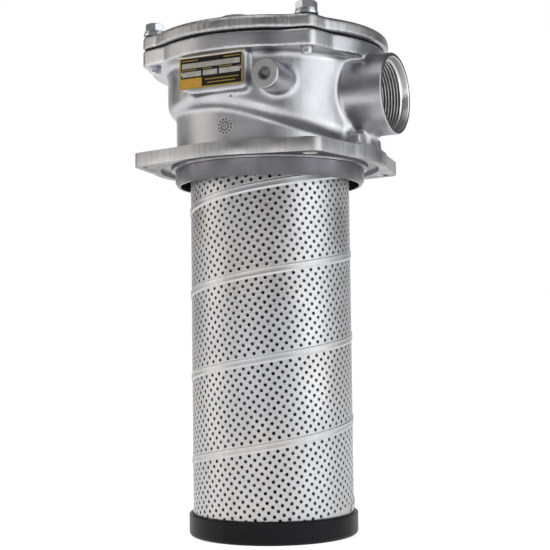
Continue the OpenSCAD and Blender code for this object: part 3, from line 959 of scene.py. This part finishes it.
@dataclass
class Head:
    """The head casting with its machined faces, threads and cast marks. Sizes in mm."""

    palette: Palette
    voxel: float = 1.15
    port_z: float = 46.7
    port_r: float = 28.2
    port_x: float = 98.6
    thread_r: float = 24.1
    thread_pitch: float = 2.209
    flange_t: float = 9.5
    barrel_r: float = 67.0
    # Where the turned faces, the softened wall and the port's lining end
    turned_top: float = 4.0
    turned_r: float = 80.2
    spigot_r: float = 69.0
    wall: tuple[float, float] = (64.0, 80.0)
    wall_top: float = 68.5
    lining_x: float = 68.5
    lining_r: float = 24.9
    # Places of the gauge boss, the port's foot and the cast marks
    gauge: Point = (39.0, 82.0, 51.7)
    boss_r: float = 14.5
    foot_top: float = 19.2
    foot_x: tuple[float, float] = (72.1, 86.0)
    foot_y: tuple[float, ...] = (22.0, 19.5, 17.0, 14.5, 12.0, 9.5)
    dial: tuple[float, float] = (0.9, 22.7)
    dot: tuple[float, float] = (8.5, 41.5)

    def build(self) -> None:
        """Builds every piece of the head."""
        self.body()
        self.flange()
        self.port_lining()
        self.boss_face()
        self.dial_mark()

    def port_distance(self, place: Vector) -> float:
        """Returns the distance from the port's axis."""
        return math.hypot(place.y, place.z - self.port_z)

    def near_root(self, place: Vector) -> bool:
        """Says whether a place is where the port, boss or foot grows from the bowl.

        Args:
            place: the place in mm.

        Returns:
            True if it is.
        """
        # How far each root reaches is read off the solid
        radius = math.hypot(place.x, place.y)
        to_port = abs(self.port_distance(place) - self.port_r)
        at_port = to_port < 5.0 and radius < 80 and place.x > 30
        to_boss = math.hypot(place.x - self.gauge[0], place.z - self.gauge[2])
        at_boss = to_boss < self.boss_r and place.y < -52 and radius < 76.5
        at_foot = place.x > 66 and 9.0 < place.z < 24 and abs(place.y) < 24
        return (at_port or at_boss or at_foot) and 10.0 < place.z < 70 and radius > 65

    def foot_cut(self) -> BMesh:
        """Builds what is cut away so that the port's foot has shoulders.

        Returns:
            Two prisms, one on each side.
        """
        bm = bmesh.new()
        for side in (-1, 1):
            under = [
                (side * y, self.port_z - math.sqrt(self.port_r**2 - y**2) - 0.05)
                for y in self.foot_y
            ]
            top = [(side * y, self.foot_top) for y in (self.foot_y[-1], self.foot_y[0])]
            prism(bm, [*top, *under], *self.foot_x)
        return bm

    def body(self) -> None:
        """Builds the casting above the flange, with soft edges and filleted roots."""

        def on_wall(place: Vector) -> bool:
            """Says whether a place is on the bowl's outside, short of the port's face.

            Args:
                place: the place in mm.

            Returns:
                True if it is.
            """
            reach = math.hypot(place.x, place.y)
            inner, outer = self.wall
            return 10.2 < place.z < self.wall_top and inner < reach < outer and place.x < 92

        bm = voxel_copy("head_casting", self.voxel, self.foot_cut())
        soften(bm, self.near_root, rounds=10)
        soften(bm, on_wall, rounds=5)
        soften(bm, lambda p: p.z > 9.8 and math.hypot(p.x, p.y) > 66, rounds=2)
        cut = self.flange_t + 0.12
        bmesh.ops.bisect_plane(
            bm, geom=everything(bm), plane_co=(0, 0, cut * MM), plane_no=(0, 0, 1),
            clear_inner=True,
        )
        rim = [e for e in bm.edges if e.is_boundary]
        skirt = bmesh.ops.extrude_edge_only(bm, edges=rim)["geom"]
        bmesh.ops.translate(bm, verts=only_verts(skirt), vec=(0, 0, -0.5 * MM))

        def machined(face: bmesh.types.BMFace) -> bool:
            """Says whether a face belongs to the port's turned lining instead.

            Args:
                face: the face.

            Returns:
                True if it does.
            """
            p = face.calc_center_median() / MM
            reach = self.port_distance(p)
            if p.x > self.lining_x and reach < self.lining_r:
                return True
            return p.x > self.port_x - 3.5 and reach < self.port_r + 1

        gone = [f for f in bm.faces if machined(f)]
        bmesh.ops.delete(bm, geom=gone, context="FACES")
        # Faces on the port's outside take the darker copy of the cast finish, which paints shade on
        # the port
        port = 1
        for face in bm.faces:
            p = face.calc_center_median() / MM
            on_port = abs(self.port_distance(p) - self.port_r) < 1.2
            if on_port and p.x > 30 and math.hypot(p.x, p.y) > 75.5:
                face.material_index = port
        piece = new_piece(
            "head_body", bm, [self.palette.cast, self.palette.port], 60
        )
        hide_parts("head_casting")

    def flange(self) -> None:
        """Builds the tank flange with its turned underside, crisp but for a small bevel."""
        bm = cad_copy("head_casting")
        bmesh.ops.bisect_plane(
            bm, geom=everything(bm), plane_co=(0, 0, (self.flange_t - 0.01) * MM),
            plane_no=(0, 0, 1), clear_outer=True,
        )
        rim = [e for e in bm.edges if e.is_boundary]
        bmesh.ops.triangle_fill(bm, edges=rim, use_beauty=True, normal=(0, 0, 1))
        bmesh.ops.recalc_face_normals(bm, faces=bm.faces)
        bmesh.ops.dissolve_limit(
            bm, angle_limit=math.radians(0.6), verts=bm.verts, edges=bm.edges,
            use_dissolve_boundaries=False, delimit=set(),
        )
        sharp = [
            e for e in bm.edges
            if e.is_manifold and e.calc_face_angle(0.0) > math.radians(50)
            and math.hypot(*e.verts[0].co.xy) > self.barrel_r * MM
        ]
        bmesh.ops.bevel(
            bm, geom=sharp, offset=0.45 * MM, offset_type="OFFSET", segments=2,
            profile=0.5, affect="EDGES", clamp_overlap=True, material=-1,
        )
        turned, spigot_shade = 1, 2
        for face in bm.faces:
            p = face.calc_center_median() / MM
            reach = math.hypot(p.x, p.y)
            # The spigot below the flange takes the near-black finish: painted shade
            if p.z < self.turned_top and reach < self.spigot_r:
                face.material_index = spigot_shade
            # The rest of the turned underside takes the dark turned finish: painted shade
            elif (p.z < self.turned_top and reach < self.turned_r) or face.normal.z < -0.9:
                face.material_index = turned
        new_piece(
            "head_flange", bm, [self.palette.flange, self.palette.turned, self.palette.spigot_shade],
            35,
        )

    def port_lining(self) -> None:
        """Builds the port's face, its smooth mouth and the thread."""
        bm = bmesh.new()
        x = self.port_x
        lathe(
            bm,
            [
                (27.0, x - 9.5), (self.port_r - 0.35, x - 9.0), (self.port_r, x - 4.0),
                (self.port_r, x - 0.7), (self.port_r - 0.7, x), (25.7, x), (25.2, x - 0.4),
                (24.4, x - 4.2), (self.thread_r, x - 4.4), (self.thread_r, x - 28.6),
                (20.5, x - 28.6), (20.5, x - 38), (22.5, x - 38), (27.0, x - 30),
            ],
            steps=144, centre=(0, 0, self.port_z), axis=Axis.TO_PORT,
        )
        port, thread_root_shade, turned = 1, 2, 3
        for face in bm.faces:
            p = face.calc_center_median() / MM
            reach = self.port_distance(p)
            # The port's outside takes the darker copy of the cast finish: painted shade
            if reach > self.port_r - 0.5:
                face.material_index = port
            elif reach > 25.6 and p.x > x - 0.8:
                face.material_index = turned
            # The bore behind the thread takes the near-black finish: painted shade deep in the port
            elif reach < self.thread_r + 0.1 and p.x < x - 4.4:
                face.material_index = thread_root_shade
        new_piece(
            "inlet_mouth", bm,
            [self.palette.bore, self.palette.port, self.palette.thread_root_shade, self.palette.turned],
            30,
        )
        thread = bmesh.new()
        crest = self.thread_r - 1.15
        pitch = self.thread_pitch
        winding(
            thread,
            [
                (self.thread_r + 0.2, -pitch * 0.49), (self.thread_r + 0.2, pitch * 0.49),
                (self.thread_r - 0.02, pitch * 0.47), (crest, pitch * 0.05),
                (crest, -pitch * 0.05), (self.thread_r - 0.02, -pitch * 0.47),
            ],
            pitch, 11.2, 20, x - 28.2, steps_per_turn=72,
            centre=(0, 0, self.port_z), axis=Axis.TO_PORT,
        )
        # The countersink cuts the last turn away
        for vert in thread.verts:
            p = vert.co / MM
            least = self.thread_r + 0.2 - 0.8 * max(0.0, x - 3.3 - p.x)
            if self.port_distance(p) < least:
                grow = least / self.port_distance(p)
                vert.co.y *= grow
                vert.co.z = (self.port_z + (p.z - self.port_z) * grow) * MM
        new_piece("inlet_thread", thread, [self.palette.bore], 35)

    def boss_face(self) -> None:
        """Builds the machined face round the plug of the gauge boss."""
        low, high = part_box("gauge_port_plug")
        centre = (low + high) / 2 / MM
        bm = bmesh.new()
        face = self.gauge[1] + 0.08
        lathe(
            bm,
            [(4.8, face - 0.9), (9.3, face - 0.9), (9.5, face - 0.2), (9.3, face), (4.8, face)],
            steps=72, centre=(centre.x, 0, centre.z), axis=Axis.TO_FRONT,
        )
        new_piece("gauge_boss_face", bm, [self.palette.faced], 30)

    def on_barrel(self, bm: BMesh, lift: float) -> None:
        """Bends a flat mark in the XZ plane onto the barrel's wall.

        Args:
            bm: the mark, with its height above the wall along -Y, in metres.
            lift: how far the wall's radius is exceeded, in mm.
        """
        for vert in bm.verts:
            p = vert.co / MM
            radius = self.barrel_r + lift - p.y
            vert.co.y = -math.sqrt(max(radius**2 - p.x**2, 0.0)) * MM

    def dial_mark(self) -> None:
        """Builds the round foundry dial, with its ticks and arrow, and the cast dot above it."""
        bm = bmesh.new()
        cx, cz = self.dial
        turn = Matrix.Rotation(math.radians(90), 4, "X")
        place = Matrix.Translation(Vector((cx, 0, cz)) * MM)
        # The raised ring, ticks and arrow take the much lighter copy of the aluminium, a painted
        # highlight; the sunk disc and the cast dot take the darker copy, painted shade
        raised_lit, shaded_recess = 0, 1
        for outer, inner, top, made_of in (
            (6.0, 0.3, 0.12, shaded_recess), (6.1, 5.6, 0.5, raised_lit),
            (3.9, 3.4, 0.4, raised_lit), (2.0, 1.5, 0.5, raised_lit),
        ):
            ring = lathe(
                bm, [(inner, -0.1), (inner, top), (outer, top), (outer, -0.1)], steps=48,
                material=made_of,
            )
            bmesh.ops.transform(bm, matrix=place @ turn, verts=ring)
        for k in range(12):
            made = bmesh.ops.create_cube(
                bm, size=MM, matrix=Matrix.Diagonal((0.8, 0.7, 1.1, 1.0))
            )["verts"]
            bmesh.ops.translate(bm, verts=made, vec=Vector((0, -0.17, 4.75)) * MM)
            bmesh.ops.rotate(
                bm, verts=made, cent=(0, 0, 0), matrix=Matrix.Rotation(math.tau * k / 12, 3, "Y")
            )
            bmesh.ops.transform(bm, matrix=place, verts=made)
        arrow = bmesh.ops.create_cube(
            bm, size=MM, matrix=Matrix.Diagonal((0.5, 0.3, 2.8, 1.0))
        )["verts"]
        bmesh.ops.rotate(bm, verts=arrow, cent=(0, 0, 0), matrix=Matrix.Rotation(0.5, 3, "Y"))
        proud = Matrix.Translation(Vector((0, -0.15, 0)) * MM)
        bmesh.ops.transform(bm, matrix=place @ proud, verts=arrow)
        self.on_barrel(bm, -0.05)
        # A small cast dot on the bowl, left by the mould, in the dark recess finish that paints
        # shade into it
        lathe(
            bm, [(0.0, 68.0), (0.75, 68.0), (0.75, 72.75), (0.0, 72.75)], steps=16, closed=False,
            centre=(self.dot[0], 0, self.dot[1]), axis=Axis.TO_FRONT, material=shaded_recess,
        )
        new_piece(
            "foundry_dial", bm, [self.palette.raised_lit, self.palette.shaded_recess], 30
        )


@dataclass
class Cover:
    """The cover, its seal, bolts and washers. Sizes in mm."""

    palette: Palette
    voxel: float = 1.15
    bolt_end: float = 67.2
    pad_z: float = 86.0
    seal_inset: float = 0.008

    def build(self) -> None:
        """Builds every piece of the cover."""
        self.plate()
        self.threads()
        self.seal()
        for i in range(1, 5):
            dress(f"cover_bolt_{i}", self.palette.zinc)
            dress(f"plain_washer_{i}", self.palette.zinc)
            dress(f"lock_washer_{i}", self.palette.spring)

    def plate(self) -> None:
        """Builds the cast cover with soft edges."""
        bm = voxel_copy("cover", self.voxel)
        soften(bm, lambda p: p.z > self.pad_z, rounds=8)
        soften(bm, lambda p: True, rounds=2)
        piece = new_piece("cover_plate", bm, [self.palette.cover], 60)
        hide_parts("cover")

    def seal(self) -> None:
        """Builds the seal a little smaller than the joint, so that it sits in shadow."""
        bm = cad_copy("cover_seal")
        small = 1.0 - self.seal_inset
        bmesh.ops.scale(bm, vec=(small, small, 1.0), verts=bm.verts)
        piece = new_piece("seal_sheet", bm, [self.palette.rubber], 30)
        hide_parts("cover_seal")

    def threads(self) -> None:
        """Builds the thread on the bolt ends below the head's ears."""
        low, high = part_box("cover_bolt_1")
        circle = math.hypot(*((low + high) / 2).xy) / MM
        bm = bmesh.new()
        for k in range(4):
            turn = math.radians(45 + 90 * k)
            winding(
                bm,
                [(3.8, -0.55), (3.8, 0.55), (4.3, 0.08), (4.3, -0.08)],
                1.25, 2.6, 30, self.bolt_end + 1.0, steps_per_turn=24,
                centre=(circle * math.cos(turn), circle * math.sin(turn), 0),
            )
        new_piece("bolt_threads", bm, [self.palette.zinc], 30)


@dataclass
class Nameplate:
    """The nameplate with generic fields of colour.

    Each field is left, top, right and bottom as shares of the plate, and its tone.
    """

    palette: Palette
    fields: tuple[tuple[float, float, float, float, Tone], ...] = (
        (0.022, 0.05, 0.978, 0.95, Tone.BLACK),
        (0.04, 0.20, 0.955, 0.36, Tone.BLANK),
        (0.04, 0.46, 0.345, 0.62, Tone.BLANK),
        (0.375, 0.46, 0.60, 0.62, Tone.BLANK),
        (0.63, 0.46, 0.955, 0.62, Tone.BLANK),
        (0.022, 0.67, 0.355, 0.95, Tone.AMBER),
        (0.04, 0.105, 0.30, 0.135, Tone.GOLD),
        (0.70, 0.105, 0.955, 0.135, Tone.GOLD),
        (0.04, 0.395, 0.27, 0.42, Tone.GOLD),
        (0.375, 0.395, 0.52, 0.42, Tone.GOLD),
        (0.63, 0.395, 0.83, 0.42, Tone.GOLD),
        (0.40, 0.735, 0.93, 0.765, Tone.GOLD),
        (0.44, 0.84, 0.88, 0.87, Tone.GOLD),
    )

    def build(self) -> None:
        """Builds the printed face over the metal plate."""
        low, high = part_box("nameplate")
        width, height = high.x - low.x, high.z - low.z
        front = low.y - 0.00003
        bm = bmesh.new()
        bmesh.ops.create_grid(
            bm, x_segments=1, y_segments=1, size=0.5,
            matrix=Matrix.Translation(((low.x + high.x) / 2, front, (low.z + high.z) / 2))
            @ Matrix.Rotation(math.radians(90), 4, "X")
            @ Matrix.Diagonal((width, height, 1, 1)),
        )
        for left, top, right, bottom, _ in self.fields:
            for share in (left, right):
                self.cut(bm, (low.x + share * width, 0, 0), (1, 0, 0))
            for share in (top, bottom):
                self.cut(bm, (0, 0, high.z - share * height), (0, 0, 1))
        tones = list(Tone)
        for face in bm.faces:
            p = face.calc_center_median()
            across, down = (p.x - low.x) / width, (high.z - p.z) / height
            tone = Tone.GOLD
            for left, top, right, bottom, own in self.fields:
                if left < across < right and top < down < bottom:
                    tone = own
            face.material_index = tones.index(tone)
        bmesh.ops.recalc_face_normals(bm, faces=bm.faces)
        if bm.faces[:][0].normal.y > 0:
            bmesh.ops.reverse_faces(bm, faces=bm.faces)
        new_piece(
            "nameplate_print", bm, [PlatePrint(t).material() for t in tones],
            None,
        )
        dress("nameplate", self.palette.turned)
        for i in (1, 2):
            dress(f"nameplate_pin_{i}", self.palette.plug)

    @staticmethod
    def cut(bm: BMesh, at: Point, normal: Point) -> None:
        """Cuts the sheet by a plane."""
        bmesh.ops.bisect_plane(bm, geom=everything(bm), plane_co=at, plane_no=normal)


@dataclass
class Element:
    """The perforated element with its seam, caps and pleats. Sizes in mm."""

    palette: Palette
    radius: float = 57.15
    wall: float = 0.8
    pitch: float = 58.85
    low: float = -243.0
    high: float = 1.0
    # The seam is at z -74.8 where it crosses the camera's side, at -62.7 degrees
    seam_turn: float = -62.7 + 360 * 74.8 / 58.85
    hole_r: float = 1.22
    spacing: float = 6.55
    rows: int = 16
    hole_sides: int = 12
    spare_turns: float = 1.2

    def build(self) -> None:
        """Builds every piece of the element."""
        self.tube()
        self.seam()
        dress("filter_pack", self.palette.cloth)
        dress("element_core", self.palette.sheet)
        dress("upper_cap", self.palette.cap)
        dress("lower_cap", self.palette.cap)
        dress("element_ring", self.palette.rubber)
        dress("hold_down_spring", self.palette.spring)

    def cell(self, bm: BMesh, width: float, height: float) -> None:
        """Makes one flat cell of the strip with its hole, centred on the origin.

        Args:
            bm: an empty mesh.
            width: size along the strip.
            height: size across the strip.
        """
        circle = bmesh.ops.create_circle(
            bm, segments=self.hole_sides, radius=self.hole_r,
            matrix=Matrix.Rotation(math.pi / self.hole_sides, 4, "Z"),
        )
        ring = set(circle["verts"])
        corners = [
            bm.verts.new((sx * width / 2, sy * height / 2, 0))
            for sx, sy in ((1, -1), (1, 1), (-1, 1), (-1, -1))
        ]
        sides = [bm.edges.new((a, b)) for a, b in zip(corners, corners[1:] + corners[:1])]
        hole = [e for e in bm.edges if e not in sides]
        bmesh.ops.triangle_fill(bm, edges=sides + hole, use_beauty=True, normal=(0, 0, 1))
        inside = [f for f in bm.faces if all(v in ring for v in f.verts)]
        bmesh.ops.delete(bm, geom=inside, context="FACES_ONLY")
        edge = [e for e in bm.edges if e in hole]
        sunk = bmesh.ops.extrude_edge_only(bm, edges=edge)["geom"]
        bmesh.ops.translate(bm, verts=only_verts(sunk), vec=(0, 0, -self.wall))

    def tube(self) -> None:
        """Builds the perforated strip, wound into the tube."""
        lead = math.atan(self.pitch / (math.tau * self.radius))
        strip = self.pitch * math.cos(lead)
        step = self.spacing / 2
        turns = (self.high - self.low) / self.pitch + self.spare_turns
        count = math.ceil(turns * math.tau * self.radius / math.cos(lead) / self.spacing)
        margin = (strip - (self.rows - 1) * step) / 2
        bm = bmesh.new()
        self.cell(bm, self.spacing, step)
        # One column of the strip: its rows, then the plain margin beside the seam
        base = everything(bm)
        for row in range(1, self.rows):
            made = bmesh.ops.duplicate(bm, geom=base)["geom"]
            shift = self.spacing / 2 if row % 2 else 0.0
            bmesh.ops.translate(bm, verts=only_verts(made), vec=(shift, row * step, 0))
        bmesh.ops.create_grid(
            bm, x_segments=1, y_segments=1, size=0.5,
            matrix=Matrix.Translation((0, -step / 2 - (margin - step / 2), 0))
            @ Matrix.Diagonal((self.spacing, 2 * margin - step, 1, 1)),
        )
        bmesh.ops.translate(bm, verts=bm.verts, vec=(0, margin, 0))
        # The columns follow by doubling
        done = 1
        while done < count:
            made = bmesh.ops.duplicate(bm, geom=everything(bm))["geom"]
            bmesh.ops.translate(bm, verts=only_verts(made), vec=(done * self.spacing, 0, 0))
            done *= 2
        spare = [v for v in bm.verts if v.co.x > (count + 0.6) * self.spacing]
        bmesh.ops.delete(bm, geom=spare, context="VERTS")
        bmesh.ops.remove_doubles(bm, verts=bm.verts, dist=STRIP_WELD)
        start = self.low - self.pitch
        start_angle = math.radians(self.seam_turn) + math.tau * start / self.pitch
        for vert in bm.verts:
            u, v, w = vert.co
            along = u * math.cos(lead) - v * math.sin(lead)
            rise = u * math.sin(lead) + v * math.cos(lead)
            angle = along / self.radius + start_angle
            radius = self.radius + w
            around = (radius * math.cos(angle), radius * math.sin(angle))
            vert.co = Vector((*around, start + rise)) * MM
        for height, side in ((self.low, -1), (self.high, 1)):
            bmesh.ops.bisect_plane(
                bm, geom=everything(bm), plane_co=(0, 0, height * MM), plane_no=(0, 0, side),
                clear_outer=True,
            )
        bmesh.ops.remove_doubles(bm, verts=bm.verts, dist=CUT_WELD)
        piece = new_piece("perforated_tube", bm, [self.palette.sheet], 50)
        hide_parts("element_tube")

    def seam(self) -> None:
        """Builds the folded lock seam over the strip's edges."""
        bm = bmesh.new()
        low, high = self.low + 3.1, -4.5
        start_deg = self.seam_turn + 360 * low / self.pitch
        section = [
            (self.radius + lift, height) for lift, height in (
                (-0.5, -3.2), (0.08, -3.2), (0.42, -2.5), (0.74, -1.8), (0.66, -0.6),
                (0.58, 0.8), (0.72, 1.7), (0.5, 2.1), (0.06, 2.3), (0.06, 2.9), (-0.5, 2.9)
            )
        ]
        winding(
            bm, section, self.pitch, (high - low) / self.pitch, start_deg, low, steps_per_turn=96
        )
        piece = new_piece("lock_seam_fold", bm, [self.palette.sheet], 25)
        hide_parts("lock_seam")


@dataclass
class Bypass:
    """The bypass valve in the lower cap. Sizes in mm."""

    palette: Palette
    travel: float = 6.0

    def build(self) -> None:
        """Builds or dresses the valve's parts."""
        self.spring()
        dress("bypass_disc", self.palette.zinc)
        dress("bypass_washer", self.palette.rubber)
        dress("bypass_retainer", self.palette.zinc)

    def spring(self) -> None:
        """Builds the coil from the model's bypass spring."""
        bm = cad_copy("bypass_spring")
        piece = new_piece("bypass_coil", bm, [self.palette.spring], 40)
        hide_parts("bypass_spring")
        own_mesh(piece)


@dataclass
class Studio:
    """Camera, lamps, backdrop and floor."""

    place: Point = (0.3983, -0.7724, -0.1251)
    forward: Point = (-0.4546, 0.8888, 0.0574)
    up: Point = (0.0371, -0.0455, 0.9983)
    lens: float = 78.988
    floor_z: float = -0.2591
    room: float = 0.12
    fill: float = 0.35
    backdrop_deg: tuple[float, float] = (42.0, 20.0)
    floor_grey: float = 0.75
    floor_glow: float = 0.78

    def build(self) -> None:
        """Builds the whole studio."""
        self.camera()
        self.world()
        self.floor()
        self.lamps()
        bpy.context.scene.view_settings.view_transform = "Standard"

    def camera(self) -> None:
        """Places the camera at the photograph's viewing angle."""
        data = bpy.data.cameras.new("camera")
        data.lens, data.sensor_width = self.lens, 36.0
        data.clip_start, data.clip_end = 0.01, 20.0
        cam = in_scene("camera", data)
        back = -Vector(self.forward).normalized()
        right = Vector(self.up).cross(back).normalized()
        up = back.cross(right)
        cam.matrix_world = Matrix.Translation(self.place) @ Matrix(
            (right, up, back)
        ).transposed().to_4x4()
        bpy.context.scene.camera = cam

    @staticmethod
    def shows_backdrop(net: Net) -> Socket:
        """Finds the rays that show the backdrop: camera, glossy and transmission.

        Args:
            net: the material's net.

        Returns:
            1 for those rays and 0 for the others.
        """
        path = net.node("ShaderNodeLightPath").outputs
        other = net.math("MAXIMUM", path["Is Glossy Ray"], path["Is Transmission Ray"])
        return net.math("MAXIMUM", path["Is Camera Ray"], other)

    def world(self) -> None:
        """Makes a white backdrop behind the object and a dim studio round the camera."""
        world = bpy.data.worlds.new("studio")
        bpy.context.scene.world = world
        world.use_nodes = True
        world.node_tree.nodes.clear()
        net = Net(world.node_tree)
        path = net.node("ShaderNodeLightPath").outputs
        x, y, z = net.split(net.node("ShaderNodeTexCoord").outputs["Generated"])
        ahead = net.math("MULTIPLY", x, self.forward[0])
        for part, share in ((y, self.forward[1]), (z, self.forward[2])):
            ahead = net.math("ADD", ahead, net.math("MULTIPLY", part, share))
        edges = (math.cos(math.radians(turn)) for turn in self.backdrop_deg)
        backdrop = net.spread(ahead, *edges)
        seen = net.math("MAXIMUM", path["Is Camera Ray"], path["Is Transmission Ray"])
        shown = net.between(backdrop, self.room, 1.0)
        lit = net.between(path["Is Glossy Ray"], self.fill, shown)
        ground = net.node(
            "ShaderNodeBackground", Color=(1, 1, 1), Strength=net.between(seen, lit, 1.0)
        )
        net.node("ShaderNodeOutputWorld", Surface=ground.outputs["Background"])

    def floor(self) -> None:
        """Makes a white floor that keeps the object's shadow."""
        bm = bmesh.new()
        bmesh.ops.create_grid(
            bm, x_segments=1, y_segments=1, size=6.0,
            matrix=Matrix.Translation((0, 0, self.floor_z)),
        )
        made, net, shader = principled("floor_white")
        net.feed_all(
            shader, Base_Color=(self.floor_grey,) * 3, Roughness=1.0, Specular_IOR_Level=0.0,
            Emission_Color=(1, 1, 1),
            Emission_Strength=net.math("MULTIPLY", self.shows_backdrop(net), self.floor_glow),
        )
        # From below, the floor lets the underside of the object be seen
        under = net.node("ShaderNodeBsdfTransparent")
        facing = net.node("ShaderNodeNewGeometry")
        mix = net.node("ShaderNodeMixShader")
        out = next(n for n in net.tree.nodes if n.bl_idname == "ShaderNodeOutputMaterial")
        net.link(facing.outputs["Backfacing"], mix.inputs[0])
        net.link(shader.outputs["BSDF"], mix.inputs[1])
        net.link(under.outputs["BSDF"], mix.inputs[2])
        net.link(mix.outputs["Shader"], out.inputs["Surface"])
        floor = in_scene("floor", to_data("floor", bm))
        floor.data.materials.append(made)

    @staticmethod
    def lamp(
        name: str, place: Point, aim: Point, size: tuple[float, float], power: float,
        colour: Colour = (1, 1, 1),
    ) -> None:
        """Adds a soft box.

        Args:
            name: the lamp's name.
            place: its centre in metres.
            aim: the point that it faces.
            size: its width and height.
            power: watts.
            colour: its colour.
        """
        data = bpy.data.lights.new(name, "AREA")
        data.shape, data.size, data.size_y = "RECTANGLE", *size
        data.energy, data.color = power, colour
        lamp = in_scene(name, data)
        lamp.location = place
        lamp.visible_camera = False
        lamp.rotation_mode = "QUATERNION"
        lamp.rotation_quaternion = (Vector(aim) - Vector(place)).to_track_quat("-Z", "Y")

    def lamps(self) -> None:
        """Adds a soft box on each side of the camera, one below it and one above."""
        centre = (0.0, 0.0, -0.08)
        self.lamp("left_box", (-0.97, -0.55, 0.15), centre, (0.8, 1.2), 3.6, (1.0, 0.94, 0.88))
        self.lamp("right_box", (1.10, -0.09, 0.15), centre, (1.1, 1.2), 7.2, (0.95, 0.975, 1.0))
        self.lamp("low_box", (-0.05, -1.05, -0.14), centre, (0.9, 0.24), 0.6, (1.0, 0.97, 0.95))
        self.lamp("top_box", (-0.1, -0.5, 1.0), centre, (0.9, 0.6), 3.0)


def main() -> None:
    """Builds each sub-assembly in order."""
    logging.basicConfig(level=logging.INFO, format="%(message)s")
    palette = Palette()
    studio = Studio()
    studio.build()
    Head(palette).build()
    Cover(palette).build()
    Nameplate(palette).build()
    dress("gauge_port_plug", palette.plug)
    Element(palette).build()
    Bypass(palette).build()


if __name__ == "__main__":
    main()
